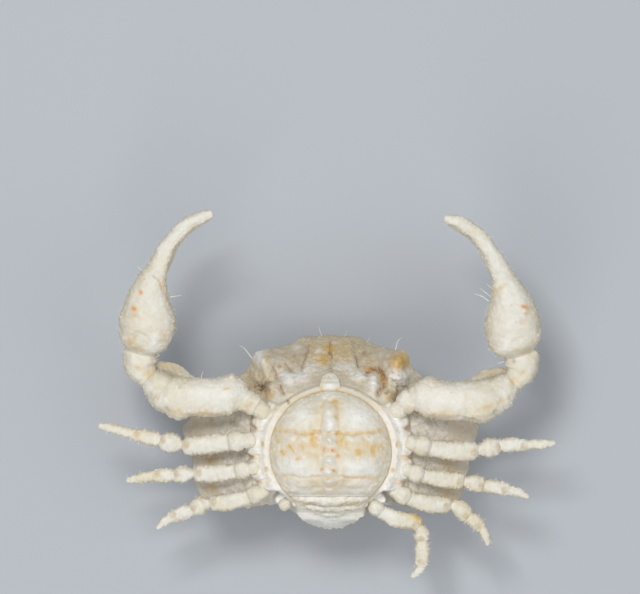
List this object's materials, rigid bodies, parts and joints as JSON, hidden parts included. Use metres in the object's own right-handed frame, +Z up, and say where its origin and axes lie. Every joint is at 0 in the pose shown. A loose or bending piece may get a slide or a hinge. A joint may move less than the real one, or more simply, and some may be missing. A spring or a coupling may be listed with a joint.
{
  "type": "fossil crab",
  "caption": "Dried pebble crab lying on its back, belly up, with a lumpy shell, a round domed abdomen, slim curved claws and short jointed legs.",
  "frame": {"origin": "middle of the bottom of the crab's whole box, on the surface that its back lies on", "axes": "+Z up, the belly side; +Y towards the crab's front and claw tips; +X towards the crab's left side"},
  "size_m": [0.0456, 0.0366, 0.0164],
  "materials": {
    "carapace": "dry, chalky, lumpy crab shell",
    "abdomen": "dry crab shell, ivory with orange-yellow stains",
    "mouth_plates": "dry crab shell stained yellow-brown",
    "claws": "dry, finely grained crab shell",
    "legs": "dry, finely grained crab shell"
  },
  "bodies": {
    "root": {"abdomen_plate": "abdomen", "body_shell": "carapace", "left_claw_arm": "claws", "left_claw_arm_base": "claws", "left_claw_finger": "claws", "left_claw_hand": "claws", "left_claw_hip": "claws", "left_claw_wrist": "claws", "left_leg_1_hip": "legs", "left_leg_1_knee": "legs", "left_leg_1_shin": "legs", "left_leg_1_thigh": "legs", "left_leg_1_toe": "legs", "left_leg_2_hip": "legs", "left_leg_2_knee": "legs", "left_leg_2_shin": "legs", "left_leg_2_thigh": "legs", "left_leg_2_toe": "legs", "left_leg_3_hip": "legs", "left_leg_3_knee": "legs", "left_leg_3_shin": "legs", "left_leg_3_thigh": "legs", "left_leg_3_toe": "legs", "left_leg_4_hip": "legs", "left_leg_4_knee": "legs", "left_leg_4_shin": "legs", "left_leg_4_thigh": "legs", "left_leg_4_toe": "legs", "left_mouth_plate": "mouth_plates", "right_claw_arm": "claws", "right_claw_arm_base": "claws", "right_claw_finger": "claws", "right_claw_hand": "claws", "right_claw_hip": "claws", "right_claw_wrist": "claws", "right_leg_1_hip": "legs", "right_leg_1_knee": "legs", "right_leg_1_shin": "legs", "right_leg_1_thigh": "legs", "right_leg_1_toe": "legs", "right_leg_2_hip": "legs", "right_leg_2_knee": "legs", "right_leg_2_shin": "legs", "right_leg_2_thigh": "legs", "right_leg_2_toe": "legs", "right_leg_3_hip": "legs", "right_leg_3_knee": "legs", "right_leg_3_shin": "legs", "right_leg_3_thigh": "legs", "right_leg_3_toe": "legs", "right_leg_4_stump": "legs", "right_mouth_plate": "mouth_plates", "tail_segment_1": "abdomen", "tail_segment_2": "abdomen", "tail_segment_3": "abdomen", "telson": "abdomen"}
  },
  "joints": []
}
